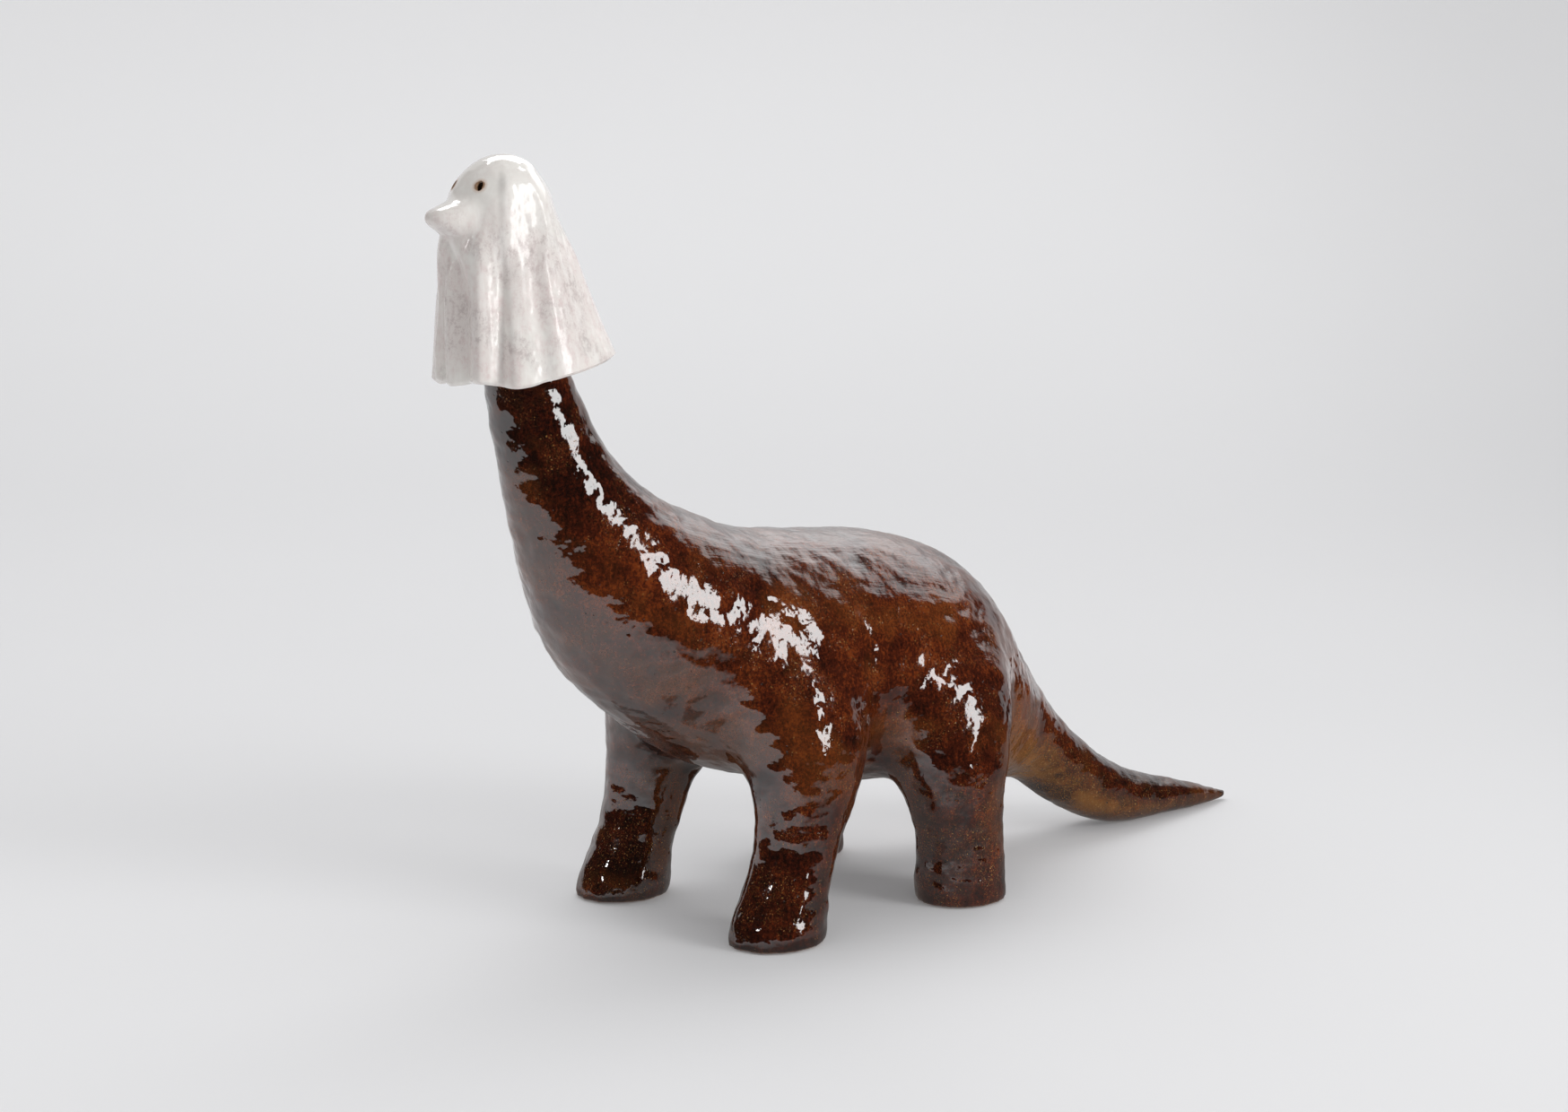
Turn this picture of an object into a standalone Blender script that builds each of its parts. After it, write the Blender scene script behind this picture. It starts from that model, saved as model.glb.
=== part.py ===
"""Glazed stoneware dinosaur that stands on four short legs, with a loose white hood draped over its head.

Metres, +Z up. The animal looks along -Y and its left side is +X. Y is first measured from the middle of
the four feet, and centre_on_floor() then puts the origin under the middle of the whole work.
"""

import math

import bmesh
import bpy
import numpy as np
from mathutils import Vector

# The animal, from the floor to the top of its bare head.
BODY_HEIGHT = 0.475
SHARE = BODY_HEIGHT / 1000

# The hood, a slab of clay laid over the head like a bed sheet. A drop is measured down from its crown.
HOOD_WALL = 0.0045
HOOD_CLEARANCE = 0.0004  # over the top of the head, on which the hood rests
HOOD_ROOM = 0.0025  # beside the head
FLARE = 0.22  # how much the radius grows for each unit of drop
LEAN = 0.24  # how far the drape hangs back for each unit of drop
LEAN_BEGINS = 0.052
LEAN_EASE = 0.015  # the drop over which the lean comes in
HEM_DROP = 0.1305
HEM_REAR_LIFT = 0.0125
HEM_LIFT_FROM, HEM_LIFT_TO = 72, 138  # angles round from the snout between which the hem rises
HEM_RIPPLE = 0.0012
HEM_WAVES = 6
HEM_DIP, HEM_DIP_ANGLE, HEM_DIP_WIDTH = 0.0025, -45, 22
EYE_WIDTH = 0.0040
EYE_HEIGHT = 0.0064
EYE_DROP = 0.0176
EYE_ANGLE = 26.0
EYE_TILT = 28.0

# The hood's flat side, where the sheet was pressed in. Lower down its middle slides forward and it narrows.
FACET_MIDDLE = 76.0
FACET_WIDTH = 22.0  # half its angular width
FACET_FACES = 84.0  # the way it faces
FACET_SINK = 0.0020  # how far it lies inside the plain drape level with the foot of the dome
FACET_FLARE = 0.16
FACET_FROM, FACET_FULL = 0.007, 0.018
FACET_SLIDE, FACET_NARROWS = 4.5, 6.0
FACET_SLIDE_FROM, FACET_SLIDE_TO = 0.036, 0.066

# The snout that the muzzle pushes out of the hood.
SNOUT_ROOM = 0.0161  # from the muzzle's tip to the snout's tip
SNOUT_RAISE = 0.0016  # of the snout's middle over the muzzle's
SNOUT_ABOVE = 0.0070
SNOUT_BELOW = 0.0100
SNOUT_ANGLE = 20.0
SNOUT_HOLLOW = 0.62  # the width and height of the hollow behind the snout, as a share of the snout's
CHIN_REACH = 0.0042
CHIN_FADES_FROM, CHIN_FADES_TO = 0.042, 0.078  # the drops over which the chin runs out into the drape
SNOUT_SINK = 0.010  # below the snout's middle, over which the chin comes out full

# The grain of the meshes.
VOXEL = 0.0040
SOFTEN_ROUNDS = 60
BODY_KEEP = 0.085
RING_SIDES = 32
TRUNK_RINGS = 80
LEG_RINGS = 24
HOOD_SIDES = 144
HOOD_LEVELS = 40
LEVEL_CROWDING = 1.35  # over 1 sets the levels closer near the crown
HOOD_KEEP = 0.16

GLAZE_BROWN = (0.115, 0.028, 0.008, 1.0)
GLAZE_WHITE = (0.72, 0.69, 0.66, 1.0)

# The trunk from the tip of the tail to the top of the neck. Each row is a ring square to the spine:
# its centre (x, y, z), then half its width and half its depth, all in thousandths of BODY_HEIGHT.
TRUNK = (
    (58, 872, 7, 8, 9),
    (57, 836, 12, 15, 13),
    (54, 779, 20, 26, 22),
    (49, 705, 31, 36, 32),
    (38, 613, 47, 51, 46),
    (26, 530, 90, 58, 53),
    (12, 461, 147, 67, 62),
    (0, 386, 190, 104, 101),
    (0, 297, 230, 147, 136),
    (0, 200, 295, 171, 171),
    (0, 110, 321, 180, 179),
    (0, 32, 331, 179, 176),
    (0, -117, 359, 170, 166),
    (0, -205, 399, 149, 151),
    (0, -290, 458, 129, 136),
    (0, -354, 539, 98, 101),
    (0, -399, 618, 76, 76),
    (0, -433, 712, 62, 62),
    (0, -454, 790, 54, 54),
    (0, -464, 860, 50, 50),
    (0, -468, 915, 44, 44),
)

# The legs on the animal's left. Each row is a level ring: its height, its centre (x, y), then half its
# width and half its length. The lowest ring is under the floor, where the soles are cut flat.
FRONT_LEG = (
    (-21, 158, -171, 63, 71),
    (25, 158, -166, 62, 70),
    (60, 157, -154, 58, 61),
    (95, 156, -140, 57, 61),
    (137, 155, -126, 59, 66),
    (190, 151, -108, 65, 83),
    (253, 140, -104, 76, 100),
    (316, 118, -107, 85, 103),
    (368, 97, -110, 74, 93),
)
HIND_LEG = (
    (-21, 173, 158, 63, 69),
    (32, 173, 156, 62, 67),
    (74, 172, 156, 60, 64),
    (126, 171, 148, 64, 72),
    (180, 164, 147, 73, 88),
    (242, 147, 155, 84, 105),
    (305, 122, 165, 88, 110),
    (358, 97, 170, 76, 100),
)
RIGHT_HIND_IN = 22  # how much nearer the middle the right hind leg stands

# Where the clay is softened: along an axis, between two places in shares of BODY_HEIGHT, the pull changes
# from one share of a full smoothing step to the other. The feet, the tail and the head keep their shape.
SOFTEN_PULL = (
    ("Z", (42, 190), (0.10, 0.50)),
    ("Y", (380, 568), (1.0, 0.12)),
    ("Z", (716, 842), (1.0, 0.20)),
)

# The bare head and its muzzle, in the same shares: where their centres are, then their half sizes.
HEAD_FORWARD, HEAD_RISE = 5, 37  # of the top of the neck
HEAD_Y, HEAD_Z = TRUNK[-1][1] - HEAD_FORWARD, TRUNK[-1][2] + HEAD_RISE
HEAD_WIDE, HEAD_TALL = 40, 54
MUZZLE_SINK = 16  # below the head's middle
MUZZLE_Y, MUZZLE_Z = HEAD_Y - HEAD_WIDE, HEAD_Z - MUZZLE_SINK
MUZZLE_WIDE, MUZZLE_LONG, MUZZLE_TALL = 20, 38, 14

# The folds: the angle round from the snout, how far each stands out or in, half its angular width, and
# the drops at which it begins and is full.
FOLDS = (
    (-2, 0.0020, 8, 0.052, 0.085),
    (17, -0.0038, 8, 0.038, 0.060),
    (33, 0.0036, 9, 0.036, 0.056),
    (53, -0.0057, 10, 0.046, 0.070),
    (112, -0.0012, 14, 0.060, 0.100),
    (138, -0.0036, 26, 0.004, 0.014),
    (142, 0.0064, 26, 0.028, 0.062),
    (141, 0.0020, 16, 0.095, 0.130),
    (160, -0.0030, 10, 0.055, 0.100),
    (178, 0.0030, 10, 0.050, 0.100),
    (198, -0.0035, 10, 0.050, 0.100),
    (218, 0.0030, 9, 0.050, 0.090),
    (238, -0.0030, 10, 0.050, 0.090),
    (256, 0.0030, 9, 0.055, 0.090),
    (273, -0.0028, 7, 0.055, 0.090),
    (290, 0.0038, 10, 0.050, 0.085),
    (318, -0.0058, 12, 0.045, 0.085),
    (336, 0.0020, 9, 0.085, 0.115),
    (348, -0.0030, 7, 0.042, 0.060),
)
SNOUT_FOLDS = 30  # folds that hang within this angle of the snout spring from under it
FAN_LENGTH = 0.055  # below the snout, over which those folds reach their own angles
INNER_FOLDS = 0.8  # the height of the folds on the hood's inner face, as a share of the outer ones


def clear_scene():
    for obj in list(bpy.data.objects):
        bpy.data.objects.remove(obj)


def glaze(name, colour, roughness):
    material = bpy.data.materials.new(name)
    material.use_nodes = True
    shader = material.node_tree.nodes["Principled BSDF"]
    shader.inputs["Base Color"].default_value = colour
    shader.inputs["Roughness"].default_value = roughness
    shader.inputs["Metallic"].default_value = 0.0
    return material


def mesh_object(name, bm, material):
    mesh = bpy.data.meshes.new(name)
    bm.to_mesh(mesh)
    bm.free()
    mesh.shade_smooth()
    mesh.materials.append(material)
    obj = bpy.data.objects.new(name, mesh)
    bpy.context.scene.collection.objects.link(obj)
    return obj


def through_points(rows, share):
    """A value of each column on a smooth curve through rows, at share 0 to 1 along them."""
    place = share * (len(rows) - 1)
    i = min(int(place), len(rows) - 2)
    t = place - i
    a, b = rows[i], rows[i + 1]
    before = rows[i - 1] if i > 0 else [2 * p - q for p, q in zip(a, b)]
    after = rows[i + 2] if i + 2 < len(rows) else [2 * q - p for p, q in zip(a, b)]
    return [
        0.5 * (2 * p1 + (p2 - p0) * t + (2 * p0 - 5 * p1 + 4 * p2 - p3) * t * t
               + (3 * p1 - p0 - 3 * p2 + p3) * t ** 3)
        for p0, p1, p2, p3 in zip(before, a, b, after)
    ]


def loft(bm, rings):
    """Joins rings of points into one closed tube with flat ends."""
    loops = [[bm.verts.new(point) for point in ring] for ring in rings]
    count = len(loops[0])
    for low, high in zip(loops, loops[1:]):
        for i in range(count):
            j = (i + 1) % count
            bm.faces.new((low[i], low[j], high[j], high[i]))
    bm.faces.new(reversed(loops[0]))
    bm.faces.new(loops[-1])


def ring(centre, across, along):
    """A ring of points round centre, from two half axes."""
    turns = [2 * math.pi * i / RING_SIDES for i in range(RING_SIDES)]
    return [centre + across * math.cos(a) + along * math.sin(a) for a in turns]


def trunk_rings():
    rows = [through_points(TRUNK, i / TRUNK_RINGS) for i in range(TRUNK_RINGS + 1)]
    rings = []
    for i, (x, y, z, width, depth) in enumerate(rows):
        before, after = rows[max(i - 1, 0)], rows[min(i + 1, len(rows) - 1)]
        spine = (Vector(after[:3]) - Vector(before[:3])).normalized()
        side = (Vector((1, 0, 0)) - spine * spine.x).normalized()
        up = side.cross(spine)
        rings.append(ring(Vector((x, y, z)) * SHARE, side * width * SHARE, up * depth * SHARE))
    return rings


def leg_rings(leg, side, inward):
    rows = [through_points(leg, i / LEG_RINGS) for i in range(LEG_RINGS + 1)]
    return [
        ring(
            Vector((side * (x - inward), y, z)) * SHARE,
            Vector((width, 0, 0)) * SHARE,
            Vector((0, length, 0)) * SHARE,
        )
        for z, x, y, width, length in rows
    ]


def ball(bm, centre, half_sizes):
    """An egg shape given in shares of the animal's height."""
    made = bmesh.ops.create_uvsphere(bm, u_segments=24, v_segments=16, radius=1)
    for vert in made["verts"]:
        vert.co = (Vector(centre) + Vector(a * b for a, b in zip(vert.co, half_sizes))) * SHARE


def add_modifier(obj, kind, **settings):
    modifier = obj.modifiers.new(kind.title(), kind)
    for name, value in settings.items():
        setattr(modifier, name, value)
    return modifier


def floor_cutter():
    bm = bmesh.new()
    bmesh.ops.create_cube(bm, size=1)
    bmesh.ops.scale(bm, vec=(4 * BODY_HEIGHT, 4 * BODY_HEIGHT, BODY_HEIGHT), verts=bm.verts)
    bmesh.ops.translate(bm, vec=(0, 0, -BODY_HEIGHT / 2), verts=bm.verts)
    mesh = bpy.data.meshes.new("floor_cutter")
    bm.to_mesh(mesh)
    bm.free()
    cutter = bpy.data.objects.new("floor_cutter", mesh)
    bpy.context.scene.collection.objects.link(cutter)
    cutter.hide_render = True
    cutter.display_type = "WIRE"
    return cutter


def soften(mesh):
    """Blends the clay where limbs join, and leaves the feet, tail and head nearly as they are."""
    points = np.empty(len(mesh.vertices) * 3)
    mesh.vertices.foreach_get("co", points)
    points = points.reshape(-1, 3)
    edges = np.empty(len(mesh.edges) * 2, dtype=int)
    mesh.edges.foreach_get("vertices", edges)
    starts, ends = edges.reshape(-1, 2).T
    neighbours = np.bincount(np.concatenate((starts, ends)), minlength=len(points))[:, None]
    pull = np.ones(len(points))
    for axis, places, pulls in SOFTEN_PULL:
        pull *= np.interp(points[:, "XYZ".index(axis)], [place * SHARE for place in places], pulls)
    pull = pull[:, None]
    for _ in range(SOFTEN_ROUNDS):
        total = np.zeros_like(points)
        for axis in range(3):
            total[:, axis] += np.bincount(starts, points[ends, axis], len(points))
            total[:, axis] += np.bincount(ends, points[starts, axis], len(points))
        points += pull * (total / neighbours - points)
    mesh.vertices.foreach_set("co", points.ravel())


def make_body(material):
    bm = bmesh.new()
    loft(bm, trunk_rings())
    loft(bm, leg_rings(FRONT_LEG, 1, 0))
    loft(bm, leg_rings(FRONT_LEG, -1, 0))
    loft(bm, leg_rings(HIND_LEG, 1, 0))
    loft(bm, leg_rings(HIND_LEG, -1, RIGHT_HIND_IN))
    ball(bm, (0, HEAD_Y, HEAD_Z), (HEAD_WIDE, HEAD_WIDE, HEAD_TALL))
    ball(bm, (0, MUZZLE_Y, MUZZLE_Z), (MUZZLE_WIDE, MUZZLE_LONG, MUZZLE_TALL))
    bmesh.ops.recalc_face_normals(bm, faces=bm.faces)
    rough = mesh_object("rough_body", bm, material)
    add_modifier(rough, "REMESH", mode="VOXEL", voxel_size=VOXEL)
    graph = bpy.context.evaluated_depsgraph_get()
    mesh = bpy.data.meshes.new_from_object(rough.evaluated_get(graph))
    bpy.data.objects.remove(rough)
    soften(mesh)
    mesh.shade_smooth()
    body = bpy.data.objects.new("dinosaur_body", mesh)
    bpy.context.scene.collection.objects.link(body)
    add_modifier(body, "DECIMATE", ratio=BODY_KEEP)
    add_modifier(body, "BOOLEAN", operation="DIFFERENCE", object=floor_cutter())
    return body


def blend(low, high, value):
    """0 below low and 1 above high, with a smooth step between."""
    t = min(max((value - low) / (high - low), 0), 1)
    return t * t * (3 - 2 * t)


def turn_between(a, b):
    """The signed angle from b to a, in degrees, the short way round."""
    return (a - b + 180) % 360 - 180


def drape_radius(drop, inset):
    """The radius of the plain drape, or of the face that lies inset behind it."""
    dome_radius = HEAD_WIDE * SHARE + HOOD_ROOM + HOOD_WALL
    dome_depth = HEAD_TALL * SHARE + HOOD_ROOM / 2
    open_share = 1 - max(0, 1 - (drop - inset) / dome_depth) ** 2
    return (dome_radius + FLARE * drop - inset) * math.sqrt(max(0, open_share))


def facet_share(angle, drop, inset):
    """How far the flat side takes over from the plain drape, from 0 to 1."""
    slid = blend(FACET_SLIDE_FROM, FACET_SLIDE_TO, drop)
    aside = turn_between(angle, FACET_MIDDLE - FACET_SLIDE * slid) / (FACET_WIDTH - FACET_NARROWS * slid)
    return math.exp(-(aside ** 6)) * blend(FACET_FROM, FACET_FULL, drop - inset)


def facet_radius(angle, drop, inset):
    """How far out the flat side lies."""
    dome_depth = HEAD_TALL * SHARE + HOOD_ROOM / 2
    level = drape_radius(dome_depth, 0) - FACET_SINK + FACET_FLARE * (drop - dome_depth)
    return level / max(math.cos(math.radians(angle - FACET_FACES)), 0.3) - inset


def fold_offset(angle, drop, snout_drop):
    """How far the folds stand out. Those near the snout fan out from under it."""
    fan = blend(snout_drop, snout_drop + FAN_LENGTH, drop)
    total = 0
    for at, height, width, begins, full in FOLDS:
        centre = turn_between(at, 0)
        if abs(centre) < SNOUT_FOLDS:
            centre *= fan
        total += height * math.exp(-((turn_between(angle, centre) / width) ** 2)) * blend(begins, full, drop)
    return total


def snout_offset(angle, drop, spread, snout_drop):
    """How far the snout and chin stand out, with the snout's width and height scaled by spread."""
    muzzle_tip = (HEAD_Y - MUZZLE_Y + MUZZLE_LONG) * SHARE
    reach = muzzle_tip + SNOUT_ROOM - drape_radius(snout_drop, 0)
    tall = SNOUT_ABOVE if drop < snout_drop else SNOUT_BELOW
    bump = reach * math.exp(-(((drop - snout_drop) / (tall * spread)) ** 2))
    chin = CHIN_REACH * blend(snout_drop, snout_drop + SNOUT_SINK, drop)
    chin *= 1 - blend(CHIN_FADES_FROM, CHIN_FADES_TO, drop)
    return max(bump, chin) * math.exp(-((turn_between(angle, 0) / (SNOUT_ANGLE * spread)) ** 2))


def hem_drop(angle):
    lift = HEM_REAR_LIFT * blend(HEM_LIFT_FROM, HEM_LIFT_TO, abs(turn_between(angle, 0)))
    ripple = HEM_RIPPLE * math.cos(math.radians(angle * HEM_WAVES))
    dip = HEM_DIP * math.exp(-((turn_between(angle, HEM_DIP_ANGLE) / HEM_DIP_WIDTH) ** 2))
    return HEM_DROP - lift + ripple + dip


def hood_point(angle, drop, inset, crown):
    """A point on the hood's outer face, or on the face that lies inset behind it."""
    spread, fold_share = (SNOUT_HOLLOW, INNER_FOLDS) if inset else (1, 1)
    turn = math.radians(angle)
    past = max(0, drop - LEAN_BEGINS)
    lean = LEAN * past ** 2 / (past + LEAN_EASE)
    plain = drape_radius(drop, inset)
    radius = math.sqrt(max(0, plain ** 2 - (lean * math.sin(turn)) ** 2)) - lean * math.cos(turn)
    radius += facet_share(angle, drop, inset) * (facet_radius(angle, drop, inset) - radius)
    snout_drop = crown.z - MUZZLE_Z * SHARE - SNOUT_RAISE
    radius += snout_offset(angle, drop, spread, snout_drop)
    radius += fold_share * fold_offset(angle, drop, snout_drop)
    return Vector((radius * math.sin(turn), -radius * math.cos(turn), -drop)) + crown


def hood_loops(bm, inset, crown):
    """Rings of the hood from near its crown to its hem."""
    angles = [360 * i / HOOD_SIDES for i in range(HOOD_SIDES)]
    loops = []
    for level in range(1, HOOD_LEVELS + 1):
        share = (level / HOOD_LEVELS) ** LEVEL_CROWDING
        loops.append([
            bm.verts.new(hood_point(a, inset + (hem_drop(a) - inset) * share, inset, crown)) for a in angles
        ])
    return loops


def eye_cutter(side, crown):
    """A rod of oval section that goes in through one eye."""
    bm = bmesh.new()
    bmesh.ops.create_cone(bm, cap_ends=True, segments=16, radius1=1, radius2=1, depth=1)
    bmesh.ops.scale(bm, vec=(EYE_WIDTH / 2, EYE_HEIGHT / 2, 4 * HOOD_WALL), verts=bm.verts)
    mesh = bpy.data.meshes.new("eye_cutter")
    bm.to_mesh(mesh)
    bm.free()
    cutter = bpy.data.objects.new("eye_cutter", mesh)
    turn, tilt = math.radians(side * EYE_ANGLE), math.radians(EYE_TILT)
    forward = Vector((math.sin(turn), -math.cos(turn), 0))
    cutter.location = crown + forward * drape_radius(EYE_DROP, 0) - Vector((0, 0, EYE_DROP))
    outward = forward * math.cos(tilt) + Vector((0, 0, math.sin(tilt)))
    cutter.rotation_euler = outward.to_track_quat("Z", "Y").to_euler()
    bpy.context.scene.collection.objects.link(cutter)
    cutter.hide_render = True
    cutter.display_type = "WIRE"
    return cutter


def make_hood(material, crown):
    bm = bmesh.new()
    loops = hood_loops(bm, 0, crown) + hood_loops(bm, HOOD_WALL, crown)[::-1]
    for low, high in zip(loops, loops[1:]):
        for i in range(HOOD_SIDES):
            j = (i + 1) % HOOD_SIDES
            bm.faces.new((low[i], high[i], high[j], low[j]))
    top = bm.verts.new(crown)
    roof = bm.verts.new(crown - Vector((0, 0, HOOD_WALL)))
    for i in range(HOOD_SIDES):
        j = (i + 1) % HOOD_SIDES
        bm.faces.new((top, loops[0][i], loops[0][j]))
        bm.faces.new((roof, loops[-1][j], loops[-1][i]))
    bmesh.ops.recalc_face_normals(bm, faces=bm.faces)
    hood = mesh_object("draped_hood", bm, material)
    add_modifier(hood, "DECIMATE", ratio=HOOD_KEEP)
    for side in (1, -1):
        add_modifier(hood, "BOOLEAN", operation="DIFFERENCE", object=eye_cutter(side, crown))
    return hood


def corners_of(obj):
    """The corners of an object's bounding box as it is evaluated."""
    evaluated = obj.evaluated_get(bpy.context.evaluated_depsgraph_get())
    return [evaluated.matrix_world @ Vector(corner) for corner in evaluated.bound_box]


def centre_on_floor(objects):
    """Moves the work so that the origin is under the middle of its bounding box."""
    bpy.context.view_layer.update()
    corners = [corner for obj in objects for corner in corners_of(obj)]
    for axis in (0, 1):
        reach = [corner[axis] for corner in corners]
        middle = (min(reach) + max(reach)) / 2
        for obj in bpy.data.objects:
            obj.location[axis] -= middle


def main():
    clear_scene()
    body = make_body(glaze("brown_glaze", GLAZE_BROWN, 0.08))
    top_of_head = max(corner.z for corner in corners_of(body))
    crown = Vector((0, HEAD_Y * SHARE, top_of_head + HOOD_CLEARANCE + HOOD_WALL))
    hood = make_hood(glaze("white_glaze", GLAZE_WHITE, 0.15), crown)
    centre_on_floor([body, hood])


main()
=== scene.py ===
"""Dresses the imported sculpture: hand marks in the clay, the two glazes, and a plain pale studio.

Metres, degrees and watts, +Z up. The animal looks along -Y and its left side is +X.
"""

import math
import bmesh
import bpy
import numpy as np
from mathutils import Matrix, Quaternion, Vector


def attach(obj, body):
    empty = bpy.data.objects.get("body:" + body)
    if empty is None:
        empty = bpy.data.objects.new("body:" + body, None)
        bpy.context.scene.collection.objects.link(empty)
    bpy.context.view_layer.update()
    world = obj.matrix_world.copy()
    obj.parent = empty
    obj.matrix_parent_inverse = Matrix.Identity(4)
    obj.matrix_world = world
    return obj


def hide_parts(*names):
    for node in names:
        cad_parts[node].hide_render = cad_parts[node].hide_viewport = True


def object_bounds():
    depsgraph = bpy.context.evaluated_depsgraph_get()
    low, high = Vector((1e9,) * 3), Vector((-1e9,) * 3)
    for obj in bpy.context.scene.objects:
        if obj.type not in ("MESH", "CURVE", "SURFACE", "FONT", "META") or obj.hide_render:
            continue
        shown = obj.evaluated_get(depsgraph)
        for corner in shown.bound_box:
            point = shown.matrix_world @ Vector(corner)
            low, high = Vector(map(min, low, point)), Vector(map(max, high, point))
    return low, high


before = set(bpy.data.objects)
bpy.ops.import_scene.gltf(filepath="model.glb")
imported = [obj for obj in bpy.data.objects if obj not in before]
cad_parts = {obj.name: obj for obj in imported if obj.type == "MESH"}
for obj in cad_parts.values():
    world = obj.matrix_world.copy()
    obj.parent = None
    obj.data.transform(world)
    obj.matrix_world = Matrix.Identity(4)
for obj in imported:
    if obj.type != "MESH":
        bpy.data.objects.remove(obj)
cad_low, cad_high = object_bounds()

# The camera stands in front of the animal's left shoulder and looks a little down.
CAMERA_PLACE = (1.3192, -1.2764, 0.5066)
CAMERA_TURN = 42.3
CAMERA_DIP = 9.0
CAMERA_LENS = 65.0
CAMERA_SENSOR = 36.0

# The paper. Reach is measured away from the camera: the floor's two ends, then a bend that tightens slowly
# over equal steps, then a wall.
FLOOR_FROM, FLOOR_TO = -7.0, 0.5
FLOOR_LEVEL = -0.0002
BEND_STEPS, BEND_STEP, BEND_EASE = 40, 0.12, 1.7
PAPER_TOP = 5.0
PAPER_HALF_WIDTH = 9.0
PAPER_PALE, PAPER_DULL = (0.88, 0.88, 0.89, 1), (0.62, 0.62, 0.63, 1)
PAPER_GLOW = 0.134
PAPER_ROUGH = 0.9
# Painted shade and light on the paper: duller behind the work, paler up the bend, duller far to the right.
DULL_BEHIND, PALE_UP_BEND, DULL_RIGHT = (-0.6, 0.7), (1.3, 3.2), (0.4, 1.2)

# What the glaze mirrors, unseen by the camera: a wall with a plain quarter round, and a table with these
# corners, just under the paper, that ends a little before and beside the work.
MIRRORED_WALL_REACH, MIRRORED_WALL_BEND, MIRRORED_WALL_TOP = 0.89, 2.6, 4.2
MIRRORED_WALL_HALF_WIDTH = 3.2
TABLE_CORNERS = (
    (0.42, -0.42),
    (0.46, 0.05),
    (0.38, 0.3),
    (0.0, 0.7),
    (-0.88, 2.4),
    (-3.0, 2.4),
    (-3.0, -1.9),
    (0.17, -0.76),
)
TABLE_LEVEL = -0.0004
TABLE_PALE, TABLE_SHADED = (0.76, 0.76, 0.77, 1), (0.12, 0.115, 0.11, 1)
TABLE_GLOW = 0.62
# The table's shade: a round patch behind the forelegs and one at each foot, each with the distances at
# which it ends and is full, and the side of the table that lies beyond these places in x and y.
HIND_SHADE_AT, HIND_SHADE = (-0.02, 0.30, 0), (0.75, 0.30)
FEET = ((0.072, -0.147, 0), (-0.072, -0.147, 0), (0.080, 0.007, 0), (-0.075, 0.007, 0))
FOOT_SHADE = (0.095, 0.045)
SIDE_SHADE_X, SIDE_SHADE_Y = (0.24, 0.44), (-0.40, -0.22)

# The lights all look at one point. Each has its azimuth, elevation, distance, width, height and power, its
# turn in its own plane and its slide up that plane.
LIGHTS_AIM = (0, -0.08, 0.22)
# Fills light the paper and the clay, and aren't mirrored. The first number is how far their light spreads.
FILLS = (
    (80, "side_fill", 109, 14, 4.2, 1.6, 2.4, 20, 0, 0),
    (180, "top_fill", -118, 62, 2.6, 2.6, 1.4, 24, 0, 0),
)
# Softboxes are seen only where the glaze mirrors them.
SOFTBOXES = (
    ("side_softbox", 111, 12, 2.3, 0.56, 1.0, 12, -24, 0.15),
    ("side_softbox_foot", 111, 12, 2.3, 0.24, 0.30, 1.5, -24, -0.5),
    ("top_softbox", -122, 55, 1.9, 1.1, 0.72, 20, 0, 0),
    ("back_softbox", -162, 33, 2.3, 2.6, 1.0, 12, 0, 0),
    ("front_lamp", -8, 21, 2.2, 0.14, 0.14, 2, 0, 0),
)
# The air beyond the paper: what it lights with, what the camera sees and what the glaze mirrors.
AIR_LIGHT, AIR_SEEN, AIR_MIRRORED = (0.60, 0.60, 0.60, 1), (0.75, 0.75, 0.76, 1), (0.02, 0.02, 0.02, 1)

# The body's mesh.
LOOSE_GAP = 0.00001
CLAY_GRAIN = 0.0023
CLAY_SOFTENING, CLAY_SMOOTHING = 0.5, 14

# The marks that hands and tools left in it: how large each is, and how the clay's space is squeezed so that
# a mark runs lengthwise or round the girth.
WANDER_SIZE, WANDER = 0.03, 0.010
LUMP_SIZES = (0.045, 0.019)
DENT_SQUEEZE, DENT_SOFTNESS = (1.0, 0.75, 1.25), 0.35
GOUGE_SIZE, GOUGE_SQUEEZE, GOUGE_WANDER = 0.0062, (1.0, 0.11, 0.11), 0.3
GOUGE_FACING, GOUGE_REARWARD = (0.05, 0.60), 0.8
STROKE_SIZE, STROKE_SQUEEZE = 0.010, (0.28, 0.28, 1.0)
STROKE_FACING = (0.7, 0.2)
RAGGED_SIZE, RAGGED_DEPTH = 0.0065, 0.0006
# The shallow crease behind each shoulder.
CREASE_Y, CREASE_Z = -0.076, 0.17
CREASE_SLOPE = -0.15
CREASE_WIDTH = 0.008
CREASE_FOOT, CREASE_HEAD = (0.105, 0.14), (0.245, 0.20)
CREASE_ASIDE = (0.02, 0.05)
# The marks fade to a share of their depth at the soles, and the whole face is sunk a little.
SOLE_MARKS, SOLE_FADE = 0.25, 0.02
MARKS_SUNK = 0.0004

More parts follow.
